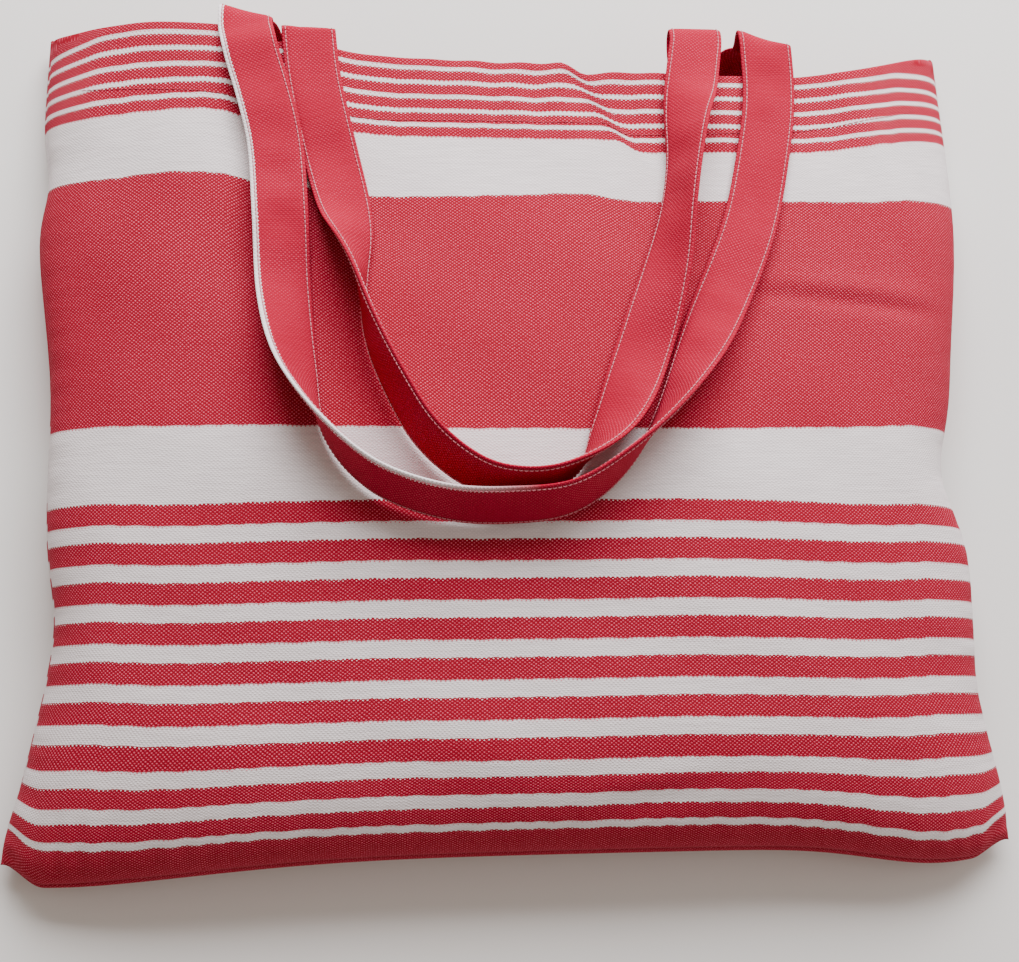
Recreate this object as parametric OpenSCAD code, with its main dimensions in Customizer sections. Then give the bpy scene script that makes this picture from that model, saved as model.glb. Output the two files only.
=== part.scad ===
// Striped cotton tote bag, filled out and lying on its back panel.
// +X runs across the bag, +Y towards its open mouth, +Z up out of the front panel.

/* [Bag] */
// Width of the flat bag between its side seams
flat_w = 450; // [420:5:460]
// Length from the bottom seam to the mouth at the side seams
bag_l = 385; // [370:5:400]
// How far the middle of the mouth sits back from its corners
mouth_dip = 20; // [5:1:25]
// How far the filled lower half draws the side seams in
side_pull = 13; // [0:1:16]
// Height of the front panel over the filled part
fill_h = 60; // [50:1:66]
// Height of the front panel's edge in the middle of the mouth
mouth_h = 40; // [34:1:46]
// Extra height of the fold near the mouth's left corner
left_fold = 9; // [0:1:12]
// Height of the seams at the bag's corners
corner_z = 8; // [5:1:12]
// Extra height of the seams at the middle of each side
seam_rise = 14; // [8:1:18]
// Thickness of the panel cloth
cloth_t = 1.5; // [1:0.1:1.8]

/* [Hem and seams] */
// Depth of the turned-in hem at the mouth
hem_d = 35; // [25:1:40]
// Thickness of the turned-in hem cloth
hem_t = 1.2; // [0.8:0.1:1.4]
// Width of the overlocked seam allowances inside the bag
allowance_w = 8; // [5:0.5:12]
// Thickness of a seam allowance
allowance_t = 1.6; // [1:0.1:2]

/* [Handles] */
// Width of the straps
strap_w = 25; // [20:1:26]
// Thickness of the folded straps
strap_t = 2.5; // [1.5:0.1:2.8]
// Distance from the middle of the bag to the front handle's sewn ends
front_end_x = 90; // [80:1:92]
// Distance from the middle of the bag to the back handle's sewn ends
back_end_x = 100; // [95:1:105]
// Distance from the middle of the bag to the back handle where it bends over the mouth
back_bend_x = 118; // [117:1:125]
// Radius of the bend over the mouth's edge
bend_r = 5; // [5:0.5:6]

/* [Thread] */
// Width of a row of sewing thread
thread_w = 0.8; // [0.5:0.1:1]
// Thickness of a row of sewing thread
thread_t = 0.4; // [0.3:0.1:0.5]

/* [Hidden] */

// Steps across and along a panel
across = 28;
along = 20;
// Grid steps over which a bottom corner is pinched flat
corner_steps = 5;
// Gap left between layers of cloth that lie on each other
ply_gap = 0.4;
// Gap under a strap that lies on the front panel, and between a strap end and its hem
strap_gap = 1.6;
end_gap = 1.4;
// Share of the length over which the bottom and the back round up to the seam
bottom_round = 0.15;
back_round = 0.2;
// The front's rounding near the sides: a higher power is squarer
side_power = 3.2;
// The hem ends short of the side seams, at this share of the half width
hem_span = 0.9;
// The frame's middle is halfway along the bag
bottom_y = -bag_l / 2;
// Half of the gap between the two panels at their seams
seam_gap = 0.25;
// The bend of the straps lies this far past the mouth's edge
bend_past = 7;
// Part of the strap that is left open for it to flex in
flex_gap = 8;
// Distance of a topstitch row from the strap's edge, and its height over the cloth
stitch_inset = 3;
stitch_lift = 0.6;

// ---- Form of the bag ----

function ease(t) = let (c = min(1, max(0, t))) c * c * (3 - 2 * c);

// Half of the bag's width at share v of its length
function half_w(v) = flat_w / 2 - side_pull * ease(v / 0.2) * (1 - 0.8 * ease((v - 0.5) / 0.28));

// Height of the seam line, carried across the whole bag
function seam_z(u, v) = corner_z + seam_rise * (1 - pow(abs(u), 4) * (1 - 4 * v * (1 - v)));

// Height that the filling holds the front panel at, with the fold at the left
function crown_z(u, v) = fill_h - (fill_h - mouth_h) * ease((v - 0.4) / 0.6)
    + left_fold * exp(-pow((u + 0.62) / 0.3, 2) - pow((v - 0.93) / 0.22, 2));

// 0 at a seam and 1 inside, rising as a quarter round of the given power
function rounded(t, power) = sqrt(max(0, 1 - pow(min(1, max(0, t)), power)));

function front_z(u, v) = seam_z(u, v) + (crown_z(u, v) - seam_z(u, v))
    * rounded(abs(u), side_power) * rounded(1 - v / bottom_round, 2);

function back_z(u, v) = seam_z(u, v) * (1
    - rounded((abs(u) - 1 + back_round) / back_round, 2) * rounded(1 - v / bottom_round, 2));

function mouth_v(u) = 1 - mouth_dip / bag_l * (1 - pow(abs(u), 3));

// Share of the length and of the half width at a place in plan
function v_of(y) = (y - bottom_y) / bag_l;
function u_of(x, y) = max(-1, min(1, x / half_w(v_of(y))));

function on_front(x, y, lift) = [x, y, front_z(u_of(x, y), v_of(y)) + lift];
function on_back(x, y, lift) = [x, y, back_z(u_of(x, y), v_of(y)) + lift];

function mouth_y(x) = bottom_y + bag_l * mouth_v(x / half_w(1));

function panel_point(front, u, v) = [
    u * half_w(v),
    bottom_y + v * bag_l,
    front ? max(front_z(u, v), seam_z(u, v) + seam_gap) : min(back_z(u, v), seam_z(u, v) - seam_gap)
];

// ---- Cloth made between two grids of points ----

function unit(p) = p / norm(p);

// Direction square to a grid at one of its points
function grid_normal(g, j, i) = let (
    n = len(g) - 1,
    m = len(g[0]) - 1,
    a = g[j][min(m, i + 1)] - g[j][max(0, i - 1)],
    b = g[min(n, j + 1)][i] - g[max(0, j - 1)][i]
) unit(cross(a, b));

function shifted(g, d) = [for (j = [0:len(g) - 1])
    [for (i = [0:len(g[0]) - 1]) g[j][i] + d * grid_normal(g, j, i)]];

// Grid steps from a place to the nearest side seam
function from_side(g, i) = min(i, len(g[0]) - 1 - i);

// Sewn edges, with the pinched corners of the bottom
function is_sewn(g, j, i) = j == 0 || from_side(g, i) == 0 || j + from_side(g, i) <= corner_steps;

// Level direction from a place at a sewn edge towards the inside of the bag
function inward(g, j, i) = let (
    k = corner_steps + 1,
    p = g[max(k, j)][max(k, min(len(g[0]) - 1 - k, i))] - g[j][i]
) unit([p[0], p[1], 0]);

// Inner face of a panel: the cloth stands upright along its sewn edges
function lined(g, d) = [for (j = [0:len(g) - 1]) [for (i = [0:len(g[0]) - 1])
    g[j][i] + (is_sewn(g, j, i) ? cloth_t * inward(g, j, i) : d * grid_normal(g, j, i))]];

// Closed slab between an upper and a lower grid of the same size
module slab(top, low) {
    rows = len(top);
    cols = len(top[0]);
    half = rows * cols;
    function at(j, i) = j * cols + i;
    upper = [for (j = [0:rows - 2], i = [0:cols - 2])
        each [[at(j, i), at(j + 1, i), at(j + 1, i + 1)], [at(j, i), at(j + 1, i + 1), at(j, i + 1)]]];
    lower = [for (f = upper) [f[0] + half, f[2] + half, f[1] + half]];
    rim = concat(
        [for (i = [0:cols - 2]) [at(0, i), at(0, i + 1)]],
        [for (j = [0:rows - 2]) [at(j, cols - 1), at(j + 1, cols - 1)]],
        [for (i = [cols - 1:-1:1]) [at(rows - 1, i), at(rows - 1, i - 1)]],
        [for (j = [rows - 1:-1:1]) [at(j, 0), at(j - 1, 0)]]);
    sides = [for (e = rim) each [[e[0], e[1], e[1] + half], [e[0], e[1] + half, e[0] + half]]];
    polyhedron(concat([for (r = top) each r], [for (r = low) each r]), concat(upper, lower, sides));
}

// Shares across the panel, closer together towards the side seams
function share_u(i, steps) = sin(90 * (2 * i / steps - 1));

function panel_grid(front) = [for (j = [0:along]) [for (i = [0:across]) let (
    u = share_u(i, across),
    v = mouth_v(u) * (1 - cos(90 * j / along))
) panel_point(front, u, v)]];

// Turned-in hem: the last hem_d of the panel, inside it
function hem_grid(front) = [for (j = [0:4]) [for (i = [0:across]) let (
    u = hem_span * share_u(i, across),
    v = mouth_v(u) - hem_d / bag_l * (1 - j / 4)
) panel_point(front, u, v)]];

// Flat band of cloth or thread that follows a grid two points wide
module band(edge_a, edge_b, thick) {
    g = [for (i = [0:len(edge_a) - 1]) [edge_a[i], edge_b[i]]];
    slab([for (r = g) [for (p = r) p + [0, 0, thick]]], g);
}

// ---- Straps ----

// Point and value between four neighbours of a route, as a smooth curve
function curve(a, b, c, d, t) = 0.5 * (2 * b + (c - a) * t
    + (2 * a - 5 * b + 4 * c - d) * t * t + (3 * b - a - 3 * c + d) * t * t * t);

function smooth(route, steps) = let (n = len(route) - 1) [for (k = [0:n * steps]) let (
    i = min(n - 1, floor(k / steps)),
    t = k / steps - i
) curve(route[max(0, i - 1)], route[i], route[i + 1], route[min(n, i + 2)], t)];

// Where a strap lies on the front panel, rolled on its edge by the angle in place 2
function lying(p) = on_front(p[0], p[1],
    strap_gap + strap_w / 2 * abs(sin(p[2])) + strap_t / 2 * abs(cos(p[2])));

function lying_side(d, roll) = [d[1] * cos(roll), -d[0] * cos(roll), sin(roll)];

// Swing axis of both handles: a straight line over the mouth, lower at the right
hinge_y = mouth_y(back_bend_x) + bend_past;
function axis_z(x) = on_front(x, hinge_y, strap_gap + strap_t / 2 - bend_r)[2];
hinge_mid_z = (axis_z(-back_bend_x) + axis_z(back_bend_x)) / 2;
hinge_fall = (axis_z(-back_bend_x) - axis_z(back_bend_x)) / (2 * back_bend_x);

function hinge_z(x) = hinge_mid_z - hinge_fall * x;

// Rings of a bend over the mouth's edge: each is a place, the strap's width direction and its normal
function bend(x, side, angles) = [for (a = angles)
    [[x, hinge_y + bend_r * cos(a), hinge_z(x) + bend_r * sin(a)], [side, 0, 0], [0, cos(a), sin(a)]]];

// Rings of the part that lies on the front panel
function strap_rings(route, steps) = let (s = smooth(route, steps), n = len(s) - 1) [for (k = [1:n - 1]) let (
    flat = s[k + 1] - s[k - 1],
    d = unit([flat[0], flat[1], 0]),
    along_d = unit(lying(s[k + 1]) - lying(s[k - 1])),
    w = lying_side(d, s[k][2]),
    square_w = unit(w - (w * along_d) * along_d)
) [lying(s[k]), square_w, unit(cross(square_w, along_d))]];

// Band of the given width, offset from the strap's middle across it and out of its face
module strap(rings, width, across_by, low, high) {
    top = [for (r = rings) [r[0] + (across_by - width / 2) * r[1] + high * r[2],
        r[0] + (across_by + width / 2) * r[1] + high * r[2]]];
    bottom = [for (r = rings) [r[0] + (across_by - width / 2) * r[1] + low * r[2],
        r[0] + (across_by + width / 2) * r[1] + low * r[2]]];
    slab(top, bottom);
}

module strap_body(rings) strap(rings, strap_w, 0, -strap_t / 2, strap_t / 2);

module strap_topstitch(rings) {
    for (side = [-1, 1])
        strap(rings, thread_w, side * (strap_w / 2 - stitch_inset),
            strap_t / 2 + stitch_lift, strap_t / 2 + stitch_lift + thread_t);
}

// Routes over the front panel, left to right: place in plan, and roll of the strap on its edge
front_route = [
    [-front_end_x, hinge_y, 0], [-86, 152, 0], [-80, 119, 5], [-74, 92, 25], [-68, 62, 65], [-60, 34, 95], [-49, 6, 115],
    [-33, -16, 122], [-10, -27, 126], [12, -25, 132], [32, -11, 140], [49, 12, 145],
    [62, 40, 125], [72, 76, 70], [81, 115, 20], [87, 152, 0], [front_end_x, hinge_y, 0]
];
back_route = [
    [-back_bend_x, hinge_y, 0], [-114, 155, 0], [-108, 122, 0], [-105, 86, 5], [-101, 50, 20], [-92, 16, 45],
    [-77, -10, 70], [-56, -30, 92], [-30, -42, 110], [-4, -46, 120], [22, -42, 115],
    [47, -27, 92], [71, 0, 55], [94, 42, 25], [110, 86, 8], [118, 130, 0], [120, 158, 0], [back_bend_x, hinge_y, 0]
];

function loop_rings(route, x, first) = concat(
    bend(-x, -1, [first:30:90]),
    strap_rings(route, 4),
    bend(x, 1, [90:-30:first]));

front_rings = loop_rings(front_route, front_end_x, -90);
back_rings = loop_rings(back_route, back_bend_x, 0);

// Rings of a strap end: places, all with the width across the bag
function end_rings(places, side) = let (n = len(places) - 1) [for (k = [0:n]) let (
    d = unit(places[min(n, k + 1)] - places[max(0, k - 1)])
) [places[k], [side, 0, 0], unit(cross([side, 0, 0], d))]];

// Depth of a sewn strap end under the front panel, and its height over the back panel
front_end_drop = cloth_t + hem_t + ply_gap + end_gap + strap_t / 2;
back_end_lift = cloth_t + hem_t + 2 * ply_gap + end_gap + thread_t + strap_t / 2;

function front_end_places(x) = concat(
    [for (k = [0:6]) on_front(x, mouth_y(x) - (hem_d - 2) * (1 - k / 6), -front_end_drop)],
    [[x, hinge_y - flex_gap, hinge_z(x) - bend_r]]);

function back_end_places(x) = let (side = sign(x), m = mouth_y(x)) concat(
    [for (k = [0:3]) on_back(x, m - (hem_d - 2) * (1 - k / 3), back_end_lift)],
    [[x + side, m + 7, back_end_lift + 1], [x + 3 * side, m + 11, back_end_lift + 6],
        [x + 8 * side, m + 12, back_end_lift + 13],
        [side * back_bend_x, hinge_y + bend_r, hinge_z(x) - flex_gap - 6],
        [side * back_bend_x, hinge_y + bend_r, hinge_z(x) - flex_gap]]);

// ---- Pieces of the bag ----

module front_panel() {
    g = panel_grid(true);
    color("firebrick") slab(g, lined(g, -cloth_t));
}

module back_panel() {
    g = panel_grid(false);
    color("indianred") slab(lined(g, cloth_t), g);
}

module front_hem() {
    g = hem_grid(true);
    outer = -cloth_t - ply_gap;
    color("mistyrose") slab(shifted(g, outer), shifted(g, outer - hem_t));
}

module back_hem() {
    g = hem_grid(false);
    inner = cloth_t + ply_gap;
    color("mistyrose") slab(shifted(g, inner + hem_t), shifted(g, inner));
}

// Seam allowance inside a side seam
module side_seam(side) {
    shares = [for (k = [0:14]) 0.05 + 0.87 * k / 14];
    edge = cloth_t + 1.5;
    inner = [for (v = shares) [side * (half_w(v) - edge - allowance_w), bottom_y + v * bag_l,
        seam_z(1, v) - allowance_t / 2]];
    outer = [for (v = shares) [side * (half_w(v) - edge), bottom_y + v * bag_l,
        seam_z(1, v) - allowance_t / 2]];
    color("linen") band(side > 0 ? inner : outer, side > 0 ? outer : inner, allowance_t);
}

module left_side_seam() side_seam(-1);

module right_side_seam() side_seam(1);

// Seam allowance inside the bottom seam
module bottom_seam() {
    edge = cloth_t + 1.5;
    xs = [for (k = [0:20]) flat_w / 2 * 0.93 * (k / 10 - 1)];
    function row(x, y) = [x, bottom_y + y, seam_z(x * 2 / flat_w, 0) - allowance_t / 2];
    color("linen") band([for (x = xs) row(-x, edge)], [for (x = xs) row(-x, edge + allowance_w)], allowance_t);
}

module front_handle() {
    color("crimson") strap_body(front_rings);
}

module back_handle() {
    color("crimson") strap_body(back_rings);
}

module front_handle_end(side) {
    color("crimson") strap_body(end_rings(front_end_places(side * front_end_x), side));
}

module front_handle_left_end() front_handle_end(-1);

module front_handle_right_end() front_handle_end(1);

module back_handle_end(side) {
    color("crimson") strap_body(end_rings(back_end_places(side * back_end_x), side));
}

module back_handle_left_end() back_handle_end(-1);

module back_handle_right_end() back_handle_end(1);

// Row of thread along the lower edge of a hem
module hem_thread(front, lift) {
    xs = [for (i = [1:across - 1]) 0.94 * flat_w / 2 * share_u(i, across)];
    function row(x, y) = front ? on_front(x, y, lift) : on_back(x, y, lift);
    y_in = hem_d - 3;
    color("white") band(
        [for (x = xs) row(-x, mouth_y(x) - y_in)],
        [for (x = xs) row(-x, mouth_y(x) - y_in + thread_w)], thread_t);
}

module front_hem_thread() hem_thread(true, ply_gap);

module back_hem_thread() hem_thread(false, cloth_t + hem_t + 2 * ply_gap);

module front_handle_thread() {
    color("mistyrose") strap_topstitch(front_rings);
}

module back_handle_thread() {
    color("mistyrose") strap_topstitch(back_rings);
}

// Box-and-cross stitching that holds one strap end: rows of thread between places in the box
module tack_box(front, x0, lift) {
    w = strap_w / 2 - 4;
    l = 20;
    g = 1.2;
    y0 = mouth_y(x0) - 27;
    rows = [
        [[-w, 0], [w, 0]], [[-w, l], [w, l]], [[-w, g], [-w, l - g]], [[w, g], [w, l - g]],
        [[g - w, g], [w - g, l - g]],
        [[g - w, l - g], [-g, l / 2 + g]], [[g, l / 2 - g], [w - g, g]]
    ];
    function place(p, o) = front ? on_front(x0 + p[0] + o[0], y0 + p[1] + o[1], lift)
        : on_back(x0 + p[0] + o[0], y0 + p[1] + o[1], lift);
    for (r = rows) {
        d = unit(r[1] - r[0]);
        side = thread_w / 2 * [-d[1], d[0]];
        band([place(r[0], side), place(r[1], side)], [place(r[0], -side), place(r[1], -side)], thread_t);
    }
}

module front_handle_tacks() {
    lift = -front_end_drop - strap_t / 2 - end_gap - thread_t;
    color("white") for (side = [-1, 1]) tack_box(true, side * front_end_x, lift);
}

module back_handle_tacks() {
    lift = back_end_lift + strap_t / 2 + end_gap / 2;
    color("white") for (side = [-1, 1]) tack_box(false, side * back_end_x, lift);
}

front_panel();
back_panel();
front_hem();
back_hem();
left_side_seam();
right_side_seam();
bottom_seam();
front_handle();
back_handle();
front_handle_left_end();
front_handle_right_end();
back_handle_left_end();
back_handle_right_end();
front_hem_thread();
back_hem_thread();
front_handle_thread();
back_handle_thread();
front_handle_tacks();
back_handle_tacks();
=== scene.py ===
import math

import bpy
import numpy as np
from mathutils import Matrix, Vector


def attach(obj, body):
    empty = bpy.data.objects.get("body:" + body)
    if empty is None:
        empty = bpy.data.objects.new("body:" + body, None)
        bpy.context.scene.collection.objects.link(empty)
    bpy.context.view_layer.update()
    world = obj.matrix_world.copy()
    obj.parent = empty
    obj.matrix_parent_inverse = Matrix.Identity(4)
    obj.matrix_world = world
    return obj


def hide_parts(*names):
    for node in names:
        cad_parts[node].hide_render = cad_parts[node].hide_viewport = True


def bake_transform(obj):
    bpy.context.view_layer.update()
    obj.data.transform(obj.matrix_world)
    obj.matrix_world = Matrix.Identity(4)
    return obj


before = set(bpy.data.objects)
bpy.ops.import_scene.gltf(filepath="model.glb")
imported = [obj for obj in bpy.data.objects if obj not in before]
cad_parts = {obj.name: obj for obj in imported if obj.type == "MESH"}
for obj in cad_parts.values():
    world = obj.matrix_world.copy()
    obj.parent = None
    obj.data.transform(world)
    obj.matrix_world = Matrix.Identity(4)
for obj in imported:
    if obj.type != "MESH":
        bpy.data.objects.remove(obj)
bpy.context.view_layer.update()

# ---------------------------------------------------------------- floor, light and view
# The bag lies on its back on a pale sheet of paper. A large soft light stands past the
# mouth of the bag, a weaker one beside it, and the view is from above the bottom seam.


def srgb(red, green, blue):
    """A screen colour from 0 to 255, as the linear values that a shader takes."""
    def linear(c):
        c /= 255
        return c / 12.92 if c <= 0.04045 else ((c + 0.055) / 1.055) ** 2.4
    return (linear(red), linear(green), linear(blue), 1.0)


def add(tree, kind, inputs=None, **settings):
    """A new node with its settings and inputs; an input that is a socket is linked."""
    node = tree.nodes.new(kind)
    for key, value in settings.items():
        setattr(node, key, value)
    for key, value in (inputs or {}).items():
        if isinstance(value, bpy.types.NodeSocket):
            tree.links.new(value, node.inputs[key])
        else:
            node.inputs[key].default_value = value
    return node


def sums(tree, operation, *values):
    """One arithmetic step on numbers or sockets."""
    return add(tree, "ShaderNodeMath", dict(enumerate(values)), operation=operation).outputs[0]


def soft_floor():
    mesh = bpy.data.meshes.new("paper_floor")
    side, lift = 2.4, -0.0004
    mesh.from_pydata([(-side, -side, lift), (side, -side, lift), (side, side, lift), (-side, side, lift)],
                     [], [(0, 1, 2, 3)])
    floor = bpy.data.objects.new("paper_floor", mesh)
    bpy.context.scene.collection.objects.link(floor)
    paper = bpy.data.materials.new("warm_white_paper")
    paper.use_nodes = True
    tree = paper.node_tree
    shader = tree.nodes["Principled BSDF"]
    shader.inputs["Roughness"].default_value = 0.95
    place = add(tree, "ShaderNodeTexCoord").outputs["Object"]
    cloud = add(tree, "ShaderNodeTexNoise", {"Vector": place, "Scale": 1.3, "Detail": 2.0}).outputs["Fac"]
    tone = add(tree, "ShaderNodeMix", {"Factor": cloud, "A": srgb(228, 226, 224), "B": srgb(232, 231, 230)},
               data_type="RGBA")
    tree.links.new(tone.outputs["Result"], shader.inputs["Base Color"])
    mesh.materials.append(paper)


def soft_light(name, place, aim, width, depth, power, tint):
    lamp = bpy.data.lights.new(name, "AREA")
    lamp.shape, lamp.size, lamp.size_y = "RECTANGLE", width, depth
    lamp.energy, lamp.color = power, tint
    stand = bpy.data.objects.new(name, lamp)
    stand.location = place
    stand.rotation_euler = (Vector(aim) - Vector(place)).to_track_quat("-Z", "Y").to_euler()
    bpy.context.scene.collection.objects.link(stand)


soft_floor()
soft_light("window_light", (0.20, 1.12, 0.90), (0.02, 0.10, 0.03), 1.4, 0.8, 58, (1.0, 0.99, 1.0))
soft_light("side_fill", (1.3, 0.1, 1.0), (0, 0, 0.03), 1.2, 1.2, 4.0, (1.0, 0.97, 0.95))

room = bpy.data.worlds.new("pale_room")
room.use_nodes = True
room.node_tree.nodes["Background"].inputs["Color"].default_value = (1.0, 0.86, 0.74, 1.0)
room.node_tree.nodes["Background"].inputs["Strength"].default_value = 0.42
bpy.context.scene.world = room

lens = bpy.data.cameras.new("view_camera")
lens.sensor_width, lens.lens, lens.clip_start, lens.clip_end = 36.0, 52.13, 0.05, 20.0
view = bpy.data.objects.new("view_camera", lens)
bpy.context.scene.collection.objects.link(view)
look, upward = Vector((0.0808, 0.1993, -0.9766)).normalized(), Vector((0.0027, 0.9798, 0.2002))
rightward = look.cross(upward).normalized()
upward = rightward.cross(look)
view.matrix_world = Matrix.Translation((-0.0567, -0.1633, 0.6836)) @ \
    Matrix((rightward, upward, -look)).transposed().to_4x4()
bpy.context.scene.camera = view

# ---------------------------------------------------------------- front panel
# The front panel is one layer of striped plain-weave cotton, sewn to the back panel along
# both sides and the bottom. It bellies over what the bag holds and turns in at the mouth.

HALF_FLAT, LENGTH, BOTTOM = 0.225, 0.385, -0.1925      # cloth width / 2, length, the bottom seam's y
CLOTH = 0.0009                                          # one layer of cotton
NARROW = 0.3435                                         # cloth length where the narrow stripes begin


def ease(t):
    t = np.clip(t, 0.0, 1.0)
    return t * t * (3 - 2 * t)


def half_width(v):
    """The sides pull in above the bottom corners, and let go again toward the mouth."""
    return HALF_FLAT - 0.013 * ease(v / 0.2) * (1 - 0.8 * ease((v - 0.5) / 0.28))


def seam_height(u, v):
    return 0.008 + 0.014 * (1 - np.abs(u) ** 4 * (1 - 4 * v * (1 - v)))


def round_off(t, power):
    return np.sqrt(np.clip(1 - np.clip(t, 0.0, 1.0) ** power, 0.0, None))


def front_height(u, v):
    """The belly of the front panel over the seam line, with the fold at its top left corner."""
    seam = seam_height(u, v)
    crown = 0.060 - 0.020 * ease((v - 0.4) / 0.6) \
        + 0.009 * np.exp(-((u + 0.62) / 0.3) ** 2 - ((v - 0.93) / 0.22) ** 2) - 0.009 * (1 - ease(v / 0.42))
    return seam + (crown - seam) * round_off(np.abs(u), 3.2) * round_off(1 - v / 0.15, 2)


def back_height(u, v):
    """The back panel lies flat on the floor and curls up to the seam at its rim."""
    return seam_height(u, v) * (1 - round_off((np.abs(u) - 0.8) / 0.2, 2) * round_off(1 - v / 0.15, 2))


def mouth_share(u):
    """How far up the cloth the mouth's edge is: it dips between the two corners."""
    return 1 - 0.020 / LENGTH * (1 - np.abs(u) ** 3)


def corner_sag(x, v):
    """The bottom corners hang a little lower than the seam between them."""
    drop = 0.0100 * np.exp(-((x + 0.215) / 0.10) ** 2) + 0.0080 * np.exp(-((x - 0.190) / 0.045) ** 2)
    blunt = 1 - 0.8 * ease((np.abs(x) - 0.206) / 0.019)
    return (drop + 0.0010) * blunt * (1 - ease(v / 0.16))


def side_draw(u, v):
    """How far the sides are drawn in past their even curve, where the belly slackens."""
    right = 0.0035 * ease((v - 0.3) / 0.2) + 0.0085 * np.exp(-((v - 0.43) / 0.065) ** 2)
    left = 0.0030 + 0.0050 * np.exp(-((v - 0.26) / 0.07) ** 2) + 0.0040 * np.exp(-((v - 0.80) / 0.05) ** 2)
    return np.where(u > 0, -right, left * ease(v / 0.1)) * np.abs(u) ** 6


def to_uv(x, y):
    v = (np.asarray(y) - BOTTOM) / LENGTH
    return np.clip(np.asarray(x) / half_width(v), -1, 1), v


def wave(x, y, cx, cy, turn, length, width, high):
    """A ridge, or with a minus sign a crease, of that length and width about one point."""
    c, s = math.cos(turn), math.sin(turn)
    a, b = (x - cx) * c + (y - cy) * s, (y - cy) * c - (x - cx) * s
    return high * np.exp(-(a / length) ** 2 - (b / width) ** 2)


def drape(x, y):
    """The folds and hollows that the front panel settles into, as heights over its belly."""
    h = 0.0010 * np.sin(x * 31 + 1.2) * np.sin(y * 27 + x * 9)
    h = h + 0.0005 * np.sin(x * 83 + y * 40) * np.sin(y * 61 - x * 22 + 0.7)
    h = h + wave(x, y, 0.165, 0.050, -0.06, 0.062, 0.0035, -0.0016)
    h = h + wave(x, y, 0.165, 0.058, -0.06, 0.066, 0.0050, 0.0010)
    h = h + wave(x, y, 0.053, -0.174, 0.15, 0.020, 0.0065, -0.0022)
    h = h + wave(x, y, 0.055, -0.163, 0.10, 0.024, 0.0050, 0.0010)
    h = h + wave(x, y, -0.155, 0.120, 1.1, 0.050, 0.0120, 0.0012)
    h = h + wave(x, y, -0.120, 0.150, 1.25, 0.040, 0.0080, -0.0014)
    h = h + wave(x, y, 0.175, 0.140, 1.9, 0.045, 0.0100, 0.0012)
    h = h + 0.0014 * tuck(x, y) * np.exp(-((x - 0.045) / 0.035) ** 2) * ease((y - 0.09) / 0.05)
    near_mouth = ease((y - 0.120) / 0.05) * np.exp(-((x - 0.022) / 0.055) ** 2)
    h = h + 0.0009 * near_mouth * np.sin(x * 2 * math.pi / 0.022 + 1.3 * np.sin(y * 90))
    return h


def tuck(x, y):
    """Which side of the slanting tuck below the mouth a place is on, from 0 to 1."""
    across = (x - 0.024) * 0.85 + (y - 0.182) * 0.53
    return ease((across + 0.006) / 0.012) * ease((0.25 - x) / 0.10)


def mouth_slump(x, y, v):
    """How far the slack cloth has slid down, along the wide band, the first narrow stripe and the mouth."""
    places = np.array([-214, -190, -168, -148, -100, -60, -30, 0, 30, 60, 100, 140, 160, 180, 205]) / 1000
    band = [-0.5, 0.5, -1.5, -2.5, 2.0, 3.5, 2.0, 0.5, -1.0, 3.0, 2.5, 2.0, 1.5, 0.5, -1.0]
    stripe = [-1.5, 0.0, -2.0, -2.5, 1.5, 3.0, 1.5, 1.0, 1.5, 1.0, 0.5, 0.5, -3.0, -5.0, -6.0]
    brim = [2.5, -2.0, -6.5, -6.0, -0.5, 2.5, 2.5, 2.5, 1.5, 0.5, 2.5, 4.5, 3.5, 2.5, 2.0]
    near = np.exp(-((np.asarray(x)[..., None] - places) / 0.018) ** 2)
    near = near / near.sum(axis=-1, keepdims=True)
    band, stripe, brim = near @ band, near @ stripe, near @ brim
    past_band, past_stripe = np.clip((v - 0.77) / 0.08, 0, 1), np.clip((v - 0.85) / 0.11, 0, 1)
    slid = band * ease((v - 0.64) / 0.13) + (stripe - band) * past_band + (brim - stripe) * past_stripe
    return (slid + 7.0 * tuck(x, y) * ease(past_band)) / 1000


def puckers(u, v, x, y):
    """The small gathers that the seams pull into the cloth beside them."""
    side = np.exp(-((1 - np.abs(u)) / 0.035)) \
        * np.sin(y * 2 * math.pi / 0.011 + 1.7 * np.sin(y * 130) + 2 * u)
    foot = np.exp(-v / 0.035) * np.sin(x * 2 * math.pi / 0.013 + 1.9 * np.sin(x * 95))
    return 0.00055 * side + 0.0007 * foot


def cloth_grid(across, along, low=0.0, high=1.0, reach=1.0):
    """Shares across and along a panel, closer together where it turns down to its seams."""
    t = np.linspace(-1, 1, across + 1)
    u = (0.3 * t + 0.7 * np.sin(math.pi / 2 * t)) * reach
    k = np.linspace(0, 1, along + 1)
    v = 0.35 * k + 0.65 * (1 - np.cos(math.pi / 2 * k)) if low == 0 else k
    u, v = np.meshgrid(u, low + (high - low) * v)
    return u, v * mouth_share(u)


def on_front(x, y):
    """The height of the front panel's outer face, folds included, for what lies on it."""
    u, v = to_uv(x, y)
    return front_height(u, v) + drape(x, y) * ease((1 - np.abs(u)) / 0.15) * ease(v / 0.12)


def front_points(u, v, settled=True):
    x, y = u * half_width(v), BOTTOM + v * LENGTH
    settle = ease((1 - np.abs(u)) / 0.15) * ease(v / 0.12)
    z = front_height(u, v) + drape(x, y) * settle \
        + puckers(u, v, x, y) * ease((1 - np.abs(u)) / 0.012) * ease(v / 0.012)
    if settled:
        x, y = x + side_draw(u, v), y - corner_sag(x, v) - mouth_slump(x, y, v)
    return np.stack([x, y, z], -1)


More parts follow.
